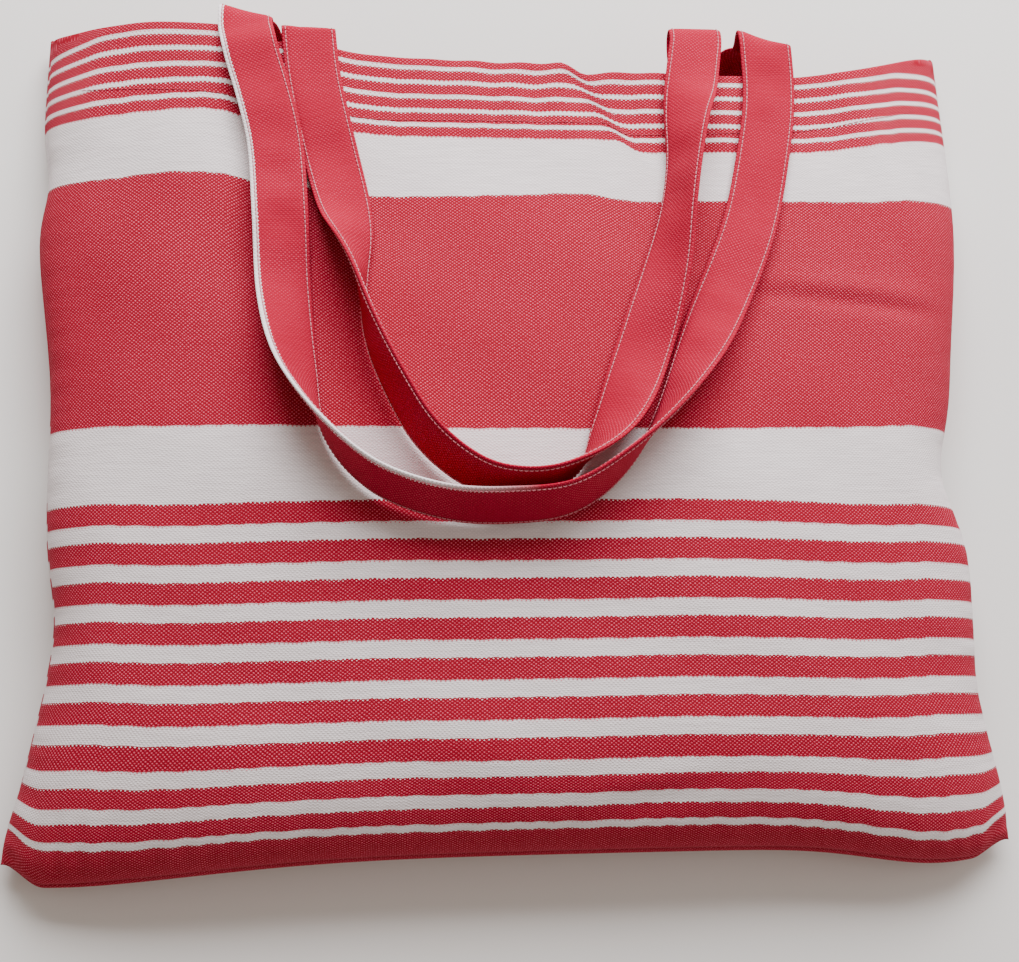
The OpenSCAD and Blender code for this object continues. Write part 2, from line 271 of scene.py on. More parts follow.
def facing(points):
    """Unit normals of a grid of points, which runs across first and then along."""
    a, b = np.gradient(points, axis=1), np.gradient(points, axis=0)
    n = np.cross(a, b)
    return n / np.maximum(np.linalg.norm(n, axis=-1, keepdims=True), 1e-12)


def step_lengths(points, axis):
    d = np.linalg.norm(np.diff(points, axis=axis), axis=-1)
    total = np.cumsum(d, axis=axis)
    return np.insert(total, 0, 0.0, axis=axis)


def finish_mesh(name, verts, faces, uv, material):
    mesh = bpy.data.meshes.new(name)
    mesh.from_pydata(verts.tolist(), [], faces.tolist())
    layer = mesh.uv_layers.new(name="cloth_lengths")
    index = np.empty(len(mesh.loops), dtype=np.int32)
    mesh.loops.foreach_get("vertex_index", index)
    layer.data.foreach_set("uv", uv[index].astype(np.float32).ravel())
    mesh.materials.append(material)
    mesh.shade_smooth()
    piece = bpy.data.objects.new(name, mesh)
    bpy.context.scene.collection.objects.link(piece)
    return piece


def cloth_piece(name, outer, uv, thick, material, flip=False):
    """A closed piece of cloth from a grid of its outer face, with its other face that far behind."""
    rows, cols = outer.shape[:2]
    back = facing(outer) * (-1 if flip else 1)
    inner = outer - back * thick
    verts = np.concatenate([outer.reshape(-1, 3), inner.reshape(-1, 3)])
    at = np.arange(rows * cols).reshape(rows, cols)
    a, b, c, d = at[:-1, :-1], at[:-1, 1:], at[1:, 1:], at[1:, :-1]
    top = np.stack([a, b, c, d], -1).reshape(-1, 4)
    low = top[:, ::-1] + rows * cols
    rim = np.concatenate([at[0, ::-1], at[1:, 0], at[-1, 1:], at[-2:0:-1, -1]])
    wall = np.stack([rim, np.roll(rim, -1), np.roll(rim, -1) + rows * cols, rim + rows * cols], -1)
    faces = np.concatenate([top, low, wall])
    if flip:
        faces = faces[:, ::-1]
    flat = uv.reshape(-1, 2)
    return finish_mesh(name, verts, faces, np.concatenate([flat, flat]), material)


def group(name, inputs, outputs):
    """A shader group with its named sockets, and the tree to fill it in."""
    tree = bpy.data.node_groups.new(name, "ShaderNodeTree")
    for label, kind in inputs:
        tree.interface.new_socket(label, in_out="INPUT", socket_type="NodeSocket" + kind)
    for label, kind in outputs:
        tree.interface.new_socket(label, in_out="OUTPUT", socket_type="NodeSocket" + kind)
    return tree, tree.nodes.new("NodeGroupInput").outputs, tree.nodes.new("NodeGroupOutput").inputs


def between(tree, value, low, high, soft):
    """1 where a length lies between low and high, 0 outside, over an edge that wide."""
    rise = add(tree, "ShaderNodeMapRange", {0: value, 1: low - soft, 2: low + soft}).outputs[0]
    fall = add(tree, "ShaderNodeMapRange",
               {0: value, 1: high - soft, 2: high + soft, 3: 1.0, 4: 0.0}).outputs[0]
    return sums(tree, "MULTIPLY", rise, fall)


def plain_weave_group():
    """Where the warp crosses over the weft, in rows of small dots set half a step apart."""
    tree, given, made = group("plain_weave", [("Lengths", "Vector"), ("Pitch Across", "Float"),
                                              ("Pitch Along", "Float")],
                              [("Dots", "Float"), ("Relief", "Float"), ("Slubs", "Float")])
    wobble = add(tree, "ShaderNodeTexNoise", {"Vector": given["Lengths"], "Scale": 170.0, "Detail": 2.0})
    shift = add(tree, "ShaderNodeVectorMath", {0: wobble.outputs["Color"], 1: (0.5, 0.5, 0.5)},
                operation="SUBTRACT").outputs[0]
    shift = add(tree, "ShaderNodeVectorMath", {0: shift, "Scale": 0.0011}, operation="SCALE").outputs[0]
    place = add(tree, "ShaderNodeVectorMath", {0: given["Lengths"], 1: shift}, operation="ADD").outputs[0]
    parts = add(tree, "ShaderNodeSeparateXYZ", {0: place}).outputs
    turns = [sums(tree, "MULTIPLY", sums(tree, "DIVIDE", parts[k], given[p]), 2 * math.pi)
             for k, p in ((0, "Pitch Across"), (1, "Pitch Along"))]
    cross = sums(tree, "MULTIPLY", sums(tree, "SINE", turns[0]), sums(tree, "SINE", turns[1]))
    dots = add(tree, "ShaderNodeMapRange", {0: cross, 1: 0.05, 2: 0.8}, interpolation_type="SMOOTHSTEP")
    patch = add(tree, "ShaderNodeTexNoise", {"Vector": place, "Scale": 900.0, "Detail": 1.0}).outputs["Fac"]
    patch = add(tree, "ShaderNodeMapRange", {0: patch, 1: 0.3, 2: 0.62, 3: 0.45, 4: 1.1}).outputs[0]
    tree.links.new(sums(tree, "MULTIPLY", dots.outputs[0], patch), made["Dots"])
    rib = sums(tree, "ABSOLUTE", sums(tree, "SINE", turns[1]))
    height = sums(tree, "ADD", sums(tree, "MULTIPLY", cross, 0.6), sums(tree, "MULTIPLY", rib, 0.5))
    tree.links.new(height, made["Relief"])
    drawn_out = add(tree, "ShaderNodeVectorMath", {0: place, 1: (60.0, 620.0, 1.0)}, operation="MULTIPLY")
    slub = add(tree, "ShaderNodeTexNoise", {"Vector": drawn_out.outputs[0], "Scale": 1.0, "Detail": 2.0,
                                            "Roughness": 0.6})
    tree.links.new(slub.outputs["Fac"], made["Slubs"])
    return tree


def stripes_group():
    """Red weft bands, up the cloth: the foot, even stripes, one wide band and six narrow stripes."""
    tree, given, made = group("weft_stripes", [("Lengths", "Vector"), ("Dots", "Float")], [("Red", "Float")])
    parts = add(tree, "ShaderNodeSeparateXYZ", {0: given["Lengths"]}).outputs
    waver = add(tree, "ShaderNodeTexNoise", {"Vector": given["Lengths"], "Scale": 28.0, "Detail": 3.0})
    waver = sums(tree, "SUBTRACT", waver.outputs["Fac"], 0.5)
    ragged = sums(tree, "SUBTRACT", given["Dots"], 0.4)
    y = sums(tree, "ADD", parts[1], sums(tree, "MULTIPLY", waver, 0.0004))
    y = sums(tree, "ADD", y, sums(tree, "MULTIPLY", ragged, 0.0010))
    soft = 0.00022
    even_pitch, even_white, even_top = 0.0169, 0.0074, 0.1665
    step = sums(tree, "MODULO", sums(tree, "ADD", y, 0.0061 + even_pitch), even_pitch)
    even = between(tree, step, even_white, even_pitch + 0.001, soft)
    even = sums(tree, "MULTIPLY", even, between(tree, y, 0.006, even_top, soft))
    foot = between(tree, y, -0.05, 0.0138, soft)
    wide = between(tree, y, 0.1980, 0.3128, soft)
    narrow_low, narrow_pitch, narrow_red, cloth_end = NARROW, 0.0076, 0.0054, 0.50
    step = sums(tree, "MODULO", sums(tree, "SUBTRACT", y, narrow_low), narrow_pitch)
    narrow = between(tree, step, -0.001, narrow_red, soft)
    narrow = sums(tree, "MULTIPLY", narrow, between(tree, y, narrow_low, cloth_end, soft))
    edge = between(tree, y, narrow_low + 5 * narrow_pitch, cloth_end, soft)
    total = even
    for band in (foot, wide, narrow, edge):
        total = sums(tree, "MAXIMUM", total, band)
    tree.links.new(total, made["Red"])
    return tree


weave, stripes = plain_weave_group(), stripes_group()


def striped_cotton():
    cloth = bpy.data.materials.new("striped_cotton")
    cloth.use_nodes = True
    tree = cloth.node_tree
    shader = tree.nodes["Principled BSDF"]
    shader.inputs["Specular IOR Level"].default_value = 0.12
    lengths = add(tree, "ShaderNodeUVMap", uv_map="cloth_lengths").outputs[0]
    woven = add(tree, "ShaderNodeGroup", node_tree=weave)
    tree.links.new(lengths, woven.inputs["Lengths"])
    woven.inputs["Pitch Across"].default_value, woven.inputs["Pitch Along"].default_value = 0.00193, 0.0016
    bands = add(tree, "ShaderNodeGroup", node_tree=stripes)
    tree.links.new(lengths, bands.inputs["Lengths"])
    tree.links.new(woven.outputs["Dots"], bands.inputs["Dots"])
    fade = add(tree, "ShaderNodeTexNoise", {"Vector": lengths, "Scale": 9.0, "Detail": 3.0}).outputs["Fac"]
    red = add(tree, "ShaderNodeMix", {"Factor": woven.outputs["Slubs"], "A": srgb(140, 0, 27),
                                      "B": srgb(152, 4, 38)}, data_type="RGBA").outputs["Result"]
    dots = sums(tree, "MULTIPLY", woven.outputs["Dots"],
                add(tree, "ShaderNodeMapRange", {0: fade, 1: 0.3, 2: 0.7, 3: 0.62, 4: 0.95}).outputs[0])
    red = add(tree, "ShaderNodeMix", {"Factor": dots, "A": red, "B": srgb(232, 104, 128)},
              data_type="RGBA").outputs["Result"]
    slub = add(tree, "ShaderNodeMapRange", {0: woven.outputs["Slubs"], 1: 0.25, 2: 0.75, 3: 0.2, 4: 0.7})
    slub = sums(tree, "ADD", slub.outputs[0], sums(tree, "MULTIPLY", woven.outputs["Dots"], 0.45))
    white = add(tree, "ShaderNodeMix", {"Factor": slub, "A": srgb(206, 197, 200), "B": srgb(236, 228, 230)},
                data_type="RGBA").outputs["Result"]
    base = add(tree, "ShaderNodeMix", {"Factor": bands.outputs["Red"], "A": white, "B": red},
               data_type="RGBA").outputs["Result"]
    tree.links.new(base, shader.inputs["Base Color"])
    tree.links.new(add(tree, "ShaderNodeMapRange", {0: slub, 3: 0.82, 4: 0.95}).outputs[0],
                   shader.inputs["Roughness"])
    height = sums(tree, "ADD", woven.outputs["Relief"], sums(tree, "MULTIPLY", woven.outputs["Slubs"], 1.2))
    bump = add(tree, "ShaderNodeBump", {"Height": height, "Strength": 0.55, "Distance": 0.00022})
    tree.links.new(bump.outputs[0], shader.inputs["Normal"])
    return cloth


striped = striped_cotton()


def cloth_lengths(points, u, take_up, uneven):
    """Cloth lengths from the middle and the bottom seam: what the stripes are woven to.

    The cloth is some millimetres longer than its surface, unevenly, for it lies in fine waves; at the
    bottom seam a little of it is gathered in, and its last stripes run along the mouth's edge.
    """
    along, across = step_lengths(points, 0), step_lengths(points, 1)
    across = across - across[:, [across.shape[1] // 2]]
    across = np.broadcast_to(across[across.shape[0] // 2], across.shape) * 1.0
    left, right = ease((-u - 0.1) / 0.6), ease((u - 0.3) / 0.6)
    low = 0.0015 + 0.0013 * left + 0.0030 * right
    middle = 0.0050 - 0.0017 * left - 0.0018 * right
    high = 0.0052 - 0.0052 * left - 0.0015 * right
    slack = low + (middle - low) * ease((along - 0.160) / 0.035) \
        + (high - middle) * ease((along - 0.20) / 0.10)
    gathers = take_up + uneven * (0.003 * left - 0.002 * right)
    up = along + uneven * slack - gathers * (1 - ease((along - 0.008) / 0.045))
    brim, brim_length = np.maximum(up[-1], 0.37), 0.3885
    up = np.where(up > NARROW, NARROW + (up - NARROW) * (brim_length - NARROW) / (brim - NARROW), up)
    flank = 0.86
    even = [int(np.argmin(np.abs(u[0] - side * flank))) for side in (-1, 1)]
    y, straight = points[..., 1], up.copy()
    for k in range(u.shape[1]):
        if abs(u[0, k]) > flank:
            edge = even[int(u[0, k] > 0)]
            outer = ease((abs(u[0, k]) - flank + 0.02) / 0.06)
            share = 0.9 * outer * ease((y[:, k] - BOTTOM - 0.006) / 0.016)
            straight[:, k] += share * (np.interp(y[:, k], y[:, edge], up[:, edge]) - up[:, k])
    return np.stack([across, straight], -1)


def turned_in(points, radius, steps):
    """The panel's last rows, which roll over the mouth's edge into the bag."""
    n = facing(points)[-1]
    t = points[-1] - points[-2]
    t /= np.linalg.norm(t, axis=-1, keepdims=True)
    rows = [points[-1] + radius * (math.sin(a) * t + (math.cos(a) - 1) * n)
            for a in (math.pi * k / steps for k in range(1, steps + 1))]
    return np.concatenate([points, np.stack(rows)])


u, v = cloth_grid(200, 170)
front_outer = turned_in(front_points(u, v), 0.0011, 6)
front_flat = turned_in(front_points(u, v, settled=False), 0.0011, 6)
u_all = np.concatenate([u, np.repeat(u[-1:], 6, axis=0)])
front_panel = cloth_piece("front_cloth", front_outer, cloth_lengths(front_flat, u_all, 0.009, 1.0),
                          CLOTH, striped)
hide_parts("front_panel")
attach(front_panel, "bag")

# ---------------------------------------------------------------- back panel
# The back panel is cut from the same cloth. It lies flat on the floor and bulges out a
# little past the seams, where its stripes meet the front ones a few millimetres low.


def back_points(u, v, settled=True):
    x, y, z = u * half_width(v), BOTTOM + v * LENGTH, back_height(u, v)
    out = settled * np.sin(math.pi * np.clip(z / seam_height(u, v), 0, 1))
    z = z + 0.0003 + puckers(u, v, x, y) * ease((1 - np.abs(u)) / 0.012) * ease(v / 0.012) * ease(z / 0.004)
    if not settled:
        return np.stack([x, y, z], -1)
    x = x + side_draw(u, v) + np.sign(u) * 0.0038 * out * ease((np.abs(u) - 0.78) / 0.2) * ease(v / 0.05)
    y = y - 0.0050 * out * ease((0.16 - v) / 0.14) - corner_sag(x, v)
    return np.stack([x, y, z], -1)


u, v = cloth_grid(180, 150)
back_outer = turned_in(back_points(u, v)[:, ::-1], 0.0011, 6)[:, ::-1]
u_all = np.concatenate([u, np.repeat(u[-1:], 6, axis=0)])
back_flat = turned_in(back_points(u, v, settled=False)[:, ::-1], 0.0011, 6)[:, ::-1]
back_lengths = cloth_lengths(back_flat, u_all, 0.004, 0.0)
back_lengths[..., 1] += 0.004
back_panel = cloth_piece("back_cloth", back_outer, back_lengths, CLOTH, striped, flip=True)
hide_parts("back_panel")
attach(back_panel, "bag")

# ---------------------------------------------------------------- hems of the mouth
# Each panel ends in a hem: the cloth is folded into the bag, 35 mm deep, and one row of
# thread holds it. It is the same striped cloth, lying close behind the panel.
HEM_DEEP, HEM_CLOTH = 0.035, 0.0010


def mouth_line(x):
    return BOTTOM + LENGTH * mouth_share(x / half_width(1.0))


def hem(name, node, points_of, behind, flip):
    u, v = cloth_grid(150, 14, low=1 - HEM_DEEP / LENGTH, high=0.998, reach=0.9)
    face = points_of(u, v)
    n = facing(face) * (-1 if flip else 1)
    face = face - behind * n
    lengths = cloth_lengths(face, u, 0.0, 0.0)
    lengths[..., 1] = LENGTH - lengths[..., 1]
    piece = cloth_piece(name, face, lengths, HEM_CLOTH, striped, flip=flip)
    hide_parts(node)
    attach(piece, "bag")


hem("front_hem_cloth", "front_hem", front_points, 0.0015, False)
hem("back_hem_cloth", "back_hem", back_points, 0.0015, True)

# ---------------------------------------------------------------- seam allowances
# Inside the side and bottom seams the raw edges of both panels lie together, 8 mm wide,
# and a three-thread overlock wraps them.
ALLOWANCE, ALLOWANCE_THICK, FROM_SEAM = 0.008, 0.0014, 0.004


def thread_material(name, dark, pale):
    thread = bpy.data.materials.new(name)
    thread.use_nodes = True
    tree = thread.node_tree
    shader = tree.nodes["Principled BSDF"]
    shader.inputs["Roughness"].default_value = 0.62
    place = add(tree, "ShaderNodeTexCoord").outputs["Object"]
    mottle = add(tree, "ShaderNodeTexNoise", {"Vector": place, "Scale": 260.0, "Detail": 2.0}).outputs["Fac"]
    tone = add(tree, "ShaderNodeMix", {"Factor": mottle, "A": dark, "B": pale},
               data_type="RGBA").outputs["Result"]
    tree.links.new(tone, shader.inputs["Base Color"])
    ply = add(tree, "ShaderNodeTexWave", {"Vector": place, "Scale": 900.0, "Distortion": 2.0}).outputs["Fac"]
    bump = add(tree, "ShaderNodeBump", {"Height": ply, "Strength": 0.3, "Distance": 0.0001})
    tree.links.new(bump.outputs[0], shader.inputs["Normal"])
    return thread


def overlocked_material():
    edge = striped.copy()
    edge.name = "overlocked_edge"
    edge.node_tree.nodes["Principled BSDF"].inputs["Specular IOR Level"].default_value = 0.2
    return edge


def stitch_tree():
    """Stitches along a line: each is a bowed thread, laid along the line and facing out."""
    tree = bpy.data.node_groups.new("sewn_stitches", "GeometryNodeTree")
    for label, kind in (("Line", "Geometry"), ("Pitch", "Float"), ("Length", "Float"), ("Thread", "Float"),
                        ("Turn", "Float"), ("Material", "Material")):
        tree.interface.new_socket(label, in_out="INPUT", socket_type="NodeSocket" + kind)
    tree.interface.new_socket("Geometry", in_out="OUTPUT", socket_type="NodeSocketGeometry")
    given, made = tree.nodes.new("NodeGroupInput").outputs, tree.nodes.new("NodeGroupOutput").inputs
    line = add(tree, "GeometryNodeMeshToCurve", {"Mesh": given["Line"]}).outputs[0]
    line = add(tree, "GeometryNodeResampleCurve", {"Curve": line, "Length": given["Pitch"]},
               mode="LENGTH").outputs[0]
    out = add(tree, "GeometryNodeInputNamedAttribute", {"Name": "outward"},
              data_type="FLOAT_VECTOR").outputs[0]
    tangent = add(tree, "GeometryNodeInputTangent").outputs[0]
    turn = add(tree, "FunctionNodeAlignRotationToVector", {"Vector": tangent}, axis="X").outputs[0]
    turn = add(tree, "FunctionNodeAlignRotationToVector", {"Rotation": turn, "Vector": out},
               axis="Z", pivot_axis="X").outputs[0]
    slant = add(tree, "FunctionNodeAxisAngleToRotation", {"Axis": (0.0, 0.0, 1.0), "Angle": given["Turn"]})
    turn = add(tree, "FunctionNodeRotateRotation", {"Rotation": turn, "Rotate By": slant.outputs[0]},
               rotation_space="LOCAL").outputs[0]
    half = sums(tree, "MULTIPLY", given["Length"], 0.5)
    rise = sums(tree, "MULTIPLY", given["Thread"], 0.9)
    ends = [add(tree, "ShaderNodeCombineXYZ", {"X": sums(tree, "MULTIPLY", half, side), "Z": 0.0}).outputs[0]
            for side in (-1.0, 1.0)]
    middle = add(tree, "ShaderNodeCombineXYZ", {"Z": rise}).outputs[0]
    bow = add(tree, "GeometryNodeCurveQuadraticBezier", {"Resolution": 4, "Start": ends[0], "Middle": middle,
                                                         "End": ends[1]}).outputs[0]
    ring = add(tree, "GeometryNodeCurvePrimitiveCircle", {"Resolution": 5}, mode="RADIUS")
    tree.links.new(sums(tree, "MULTIPLY", given["Thread"], 0.5), ring.inputs["Radius"])
    stitch = add(tree, "GeometryNodeCurveToMesh", {"Curve": bow, "Profile Curve": ring.outputs[0],
                                                   "Fill Caps": True}).outputs[0]
    row = add(tree, "GeometryNodeInstanceOnPoints", {"Points": line, "Instance": stitch, "Rotation": turn})
    row = add(tree, "GeometryNodeRealizeInstances", {0: row.outputs[0]}).outputs[0]
    row = add(tree, "GeometryNodeSetMaterial", {"Geometry": row, "Material": given["Material"]}).outputs[0]
    tree.links.new(row, made["Geometry"])
    return tree


def sew(name, lines, pitch, length, thick, thread, turn=0.0):
    """One mesh of stitches along lines, each a pair of places and outward directions."""
    verts, edges, faces_out = [], [], []
    for places, outward in lines:
        first = len(verts)
        verts += [tuple(p) for p in places]
        faces_out += [tuple(n) for n in outward]
        edges += [(first + k, first + k + 1) for k in range(len(places) - 1)]
    mesh = bpy.data.meshes.new(name + "_line")
    mesh.from_pydata(verts, edges, [])
    mesh.attributes.new("outward", "FLOAT_VECTOR", "POINT").data.foreach_set("vector", np.ravel(faces_out))
    line = bpy.data.objects.new(name + "_line", mesh)
    bpy.context.scene.collection.objects.link(line)
    stitches = line.modifiers.new("stitches", "NODES")
    stitches.node_group = stitching
    values = {"Pitch": pitch, "Length": length, "Thread": thick, "Turn": turn, "Material": thread}
    for item in stitching.interface.items_tree:
        value = values.get(item.name)
        if value is not None and item.in_out == "INPUT":
            stitches[item.identifier] = value
    ready = line.evaluated_get(bpy.context.evaluated_depsgraph_get())
    sewn = bpy.data.objects.new(name, bpy.data.meshes.new_from_object(ready))
    sewn.data.name = name
    sewn.data.shade_smooth()
    bpy.context.scene.collection.objects.link(sewn)
    bpy.data.objects.remove(line)
    return sewn


stitching = stitch_tree()
pink_thread = thread_material("pink_thread", srgb(186, 80, 100), srgb(226, 150, 162))
red_thread = thread_material("red_thread", srgb(150, 24, 48), srgb(186, 60, 80))
overlocked = overlocked_material()


def allowance(name, node, outer, inner, flip=False):
    grid = np.stack([outer * (1 - k / 6) + inner * k / 6 for k in range(7)])
    grid[..., 2] += 0.0007 + 0.0003 * np.sin(np.arange(grid.shape[1]) * 0.9)
    lengths = np.stack(np.meshgrid(np.linspace(0, 0.38, grid.shape[1]), np.linspace(0.15, 0.158, 7)), -1)
    piece = cloth_piece(name, grid, lengths, ALLOWANCE_THICK, overlocked, flip=flip)
    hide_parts(node)
    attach(piece, "bag")
    middle = (grid[2] + grid[3]) / 2 + np.array([0, 0, 0.00025])
    loops = sew(name + "_overlock", [(middle, np.tile([0.0, 0.0, 1.0], (len(middle), 1)))],
                0.0022, 0.0068, 0.0005, pink_thread, turn=1.25)
    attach(loops, "bag")


shares = np.linspace(0.05, 0.92, 60)
for side, word in ((-1, "left"), (1, "right")):
    edges = [np.stack([side * (half_width(shares) - inset) + side_draw(side, shares),
                       BOTTOM + shares * LENGTH, seam_height(1.0, shares)], -1)
             for inset in (FROM_SEAM, FROM_SEAM + ALLOWANCE)]
    allowance(word + "_seam_allowance", word + "_side_seam", *edges, flip=side < 0)
xs = np.linspace(-0.209, 0.209, 90)
edges = [np.stack([xs, BOTTOM + inset - 0.7 * corner_sag(xs, 0.0), seam_height(xs / HALF_FLAT, 0.0)], -1)
         for inset in (FROM_SEAM, FROM_SEAM + ALLOWANCE)]
allowance("bottom_seam_allowance", "bottom_seam", *edges)

# ---------------------------------------------------------------- straps
# Each handle is one long strap of red cotton, folded double and topstitched along both
# edges. Its ends are sewn inside the mouth; between them it stands on edge in a U.
STRAP_WIDE, STRAP_THICK = 0.025, 0.0022
TOPSTITCH = 0.0107                                      # the rows of thread, from the strap's middle
HINGE_Y, BEND = 0.182487, 0.005                         # where both loops swing, and how tightly they turn
UNDER_FRONT, OVER_BACK = 0.00575, 0.00655               # sewn ends' middles, from the panels' outer faces


def hinge_height(x):
    """The hinge line leans with the mouth's edge."""
    return 0.0403447 - 0.03124 * x


def strap_cotton(name, selvedge):
    cloth = bpy.data.materials.new(name)
    cloth.use_nodes = True
    tree = cloth.node_tree
    shader = tree.nodes["Principled BSDF"]
    shader.inputs["Specular IOR Level"].default_value = 0.12
    lengths = add(tree, "ShaderNodeUVMap", uv_map="cloth_lengths").outputs[0]
    woven = add(tree, "ShaderNodeGroup", node_tree=weave)
    tree.links.new(lengths, woven.inputs["Lengths"])
    woven.inputs["Pitch Across"].default_value, woven.inputs["Pitch Along"].default_value = 0.0019, 0.0018
    fade = add(tree, "ShaderNodeTexNoise", {"Vector": lengths, "Scale": 22.0, "Detail": 3.0}).outputs["Fac"]
    red = add(tree, "ShaderNodeMix", {"Factor": woven.outputs["Slubs"], "A": srgb(154, 6, 38),
                                      "B": srgb(168, 16, 52)}, data_type="RGBA").outputs["Result"]
    dots = sums(tree, "MULTIPLY", woven.outputs["Dots"],
                add(tree, "ShaderNodeMapRange", {0: fade, 1: 0.35, 2: 0.68, 3: 0.15, 4: 0.75}).outputs[0])
    red = add(tree, "ShaderNodeMix", {"Factor": dots, "A": red, "B": srgb(214, 80, 104)},
              data_type="RGBA").outputs["Result"]
    if selvedge:
        parts = add(tree, "ShaderNodeSeparateXYZ", {0: lengths}).outputs
        ragged = sums(tree, "MULTIPLY", woven.outputs["Dots"], 0.0005)
        edge = add(tree, "ShaderNodeMapRange", {0: sums(tree, "ADD", parts[0], ragged), 1: 0.0100, 2: 0.0104})
        run = add(tree, "ShaderNodeMapRange", {0: parts[1], 1: selvedge - 0.05, 2: selvedge, 3: 1.0, 4: 0.0})
        shown = sums(tree, "MULTIPLY", edge.outputs[0], run.outputs[0])
        red = add(tree, "ShaderNodeMix", {"Factor": shown, "A": red, "B": srgb(238, 230, 234)},
                  data_type="RGBA").outputs["Result"]
    tree.links.new(red, shader.inputs["Base Color"])
    tree.links.new(add(tree, "ShaderNodeMapRange", {0: fade, 3: 0.80, 4: 0.96}).outputs[0],
                   shader.inputs["Roughness"])
    height = sums(tree, "ADD", woven.outputs["Relief"], woven.outputs["Slubs"])
    bump = add(tree, "ShaderNodeBump", {"Height": height, "Strength": 0.6, "Distance": 0.00025})
    tree.links.new(bump.outputs[0], shader.inputs["Normal"])
    return cloth


def smooth_route(route, steps=8):
    """A rounded path through the places where a strap was laid."""
    r = np.array(route, float)
    r = np.concatenate([r[:1], r, r[-1:]])
    made = []
    for k in range(len(route) - 1):
        a, b, c, d = r[k:k + 4]
        for t in np.arange(steps) / steps:
            made.append(0.5 * (2 * b + (c - a) * t + (2 * a - 5 * b + 4 * c - d) * t ** 2
                               + (3 * b - a - 3 * c + d) * t ** 3))
    return np.array(made + [r[-1]])


def lying_strap(route, over):
    """Middle line and width directions of the loop where it lies on the front panel.

    A route's points are x and y in millimetres, and the strap's roll about its own line in degrees.
    """
    p = smooth_route(route)
    x, y, roll = p[:, 0] / 1000, p[:, 1] / 1000, np.radians(p[:, 2])
    on_edge, flat = np.abs(np.sin(roll)), np.abs(np.cos(roll))
    z = on_front(x, y) + 0.0016 + 0.0045 * over(x, y) + STRAP_WIDE / 2 * on_edge + 0.00125 * flat
    d = np.gradient(np.stack([x, y], -1), axis=0)
    d /= np.linalg.norm(d, axis=-1, keepdims=True)
    wide = np.stack([d[:, 1] * np.cos(roll), -d[:, 0] * np.cos(roll), np.sin(roll)], -1)
    return np.stack([x, y, z], -1), wide


def strap_bend(x, side, angles, deep, slant):
    """The strap's turn over the mouth, which may run aslant: ring centres, width directions, slant."""
    a = np.radians(angles)
    centre = np.stack([x + 0 * a, HINGE_Y + deep * np.cos(a), hinge_height(x) + BEND * np.sin(a)], -1)
    return centre, np.tile([side, 0.0, 0.0], (len(a), 1)), slant * np.cos(a) ** 2


def sewn_front_end(x):
    y = mouth_line(x) - 0.033 * (1 - np.linspace(0, 1, 8))
    u, v = to_uv(x, y)
    return np.stack([x + 0 * y, y, front_height(u, v) - UNDER_FRONT], -1)


def sewn_back_end(x, outer, deep):
    m = float(mouth_line(x))
    top = hinge_height(outer)
    y = m - 0.033 * (1 - np.linspace(0, 1, 5))
    u, v = to_uv(x, y)
    flat = np.stack([x + 0 * y, y, back_height(u, v) + OVER_BACK], -1)
    rise = [(x + (outer - x) * share, y, z) for share, y, z in
            ((0.10, m + 0.006, 0.00755), (0.25, m + 0.010, 0.01055), (0.55, m + 0.012, 0.01955),
             (0.85, HINGE_Y + deep, top - 0.014), (1.0, HINGE_Y + deep, top - 0.008))]
    return np.concatenate([flat, rise])


def soften(values, times):
    """Evens out the kinks where one run of a strap meets the next."""
    for _ in range(times):
        values[1:-1] = (values[:-2] + 2 * values[1:-1] + values[2:]) / 4
    return values


def whole_strap(route, ends, tops, from_angle, deep, slant, over=lambda x, y: 0 * x):
    """Rings of a strap from one sewn end to the other: centres, width and face directions."""
    runs = []
    turn = np.linspace(from_angle, 90, 9)
    runs.append((ends[0], np.tile([-1.0, 0, 0], (len(ends[0]), 1)), np.zeros(len(ends[0]))))
    runs.append(strap_bend(tops[0], -1, turn, deep[0], slant[0]))
    lying = [part[1:-1] for part in lying_strap(route, over)]
    runs.append((*lying, np.zeros(len(lying[0]))))
    runs.append(strap_bend(tops[1], 1, turn[::-1], deep[1], slant[1]))
    runs.append((ends[1][::-1], np.tile([1.0, 0, 0], (len(ends[1]), 1)), np.zeros(len(ends[1]))))
    centre, wide, aslant = (np.concatenate([r[k] for r in runs]) for k in range(3))
    run = np.concatenate([[0], np.cumsum(np.linalg.norm(np.diff(centre, axis=0), axis=-1))])
    keep = np.concatenate([[True], np.diff(run) > 1e-5])
    centre, wide, aslant, run = centre[keep], wide[keep], aslant[keep], run[keep]
    s = np.linspace(0, run[-1], int(run[-1] / 0.0014))
    centre = soften(np.stack([np.interp(s, run, centre[:, k]) for k in range(3)], -1), 5)
    wide = soften(np.stack([np.interp(s, run, wide[:, k]) for k in range(3)], -1), 10)
    aslant = soften(np.interp(s, run, aslant), 10)
    along = np.gradient(centre, axis=0)
    along /= np.linalg.norm(along, axis=-1, keepdims=True)
    wide -= along * np.sum(wide * along, -1, keepdims=True)
    wide /= np.linalg.norm(wide, axis=-1, keepdims=True)
    out = np.cross(wide, along)
    wide[:, 1] += aslant
    return centre, wide, out, s


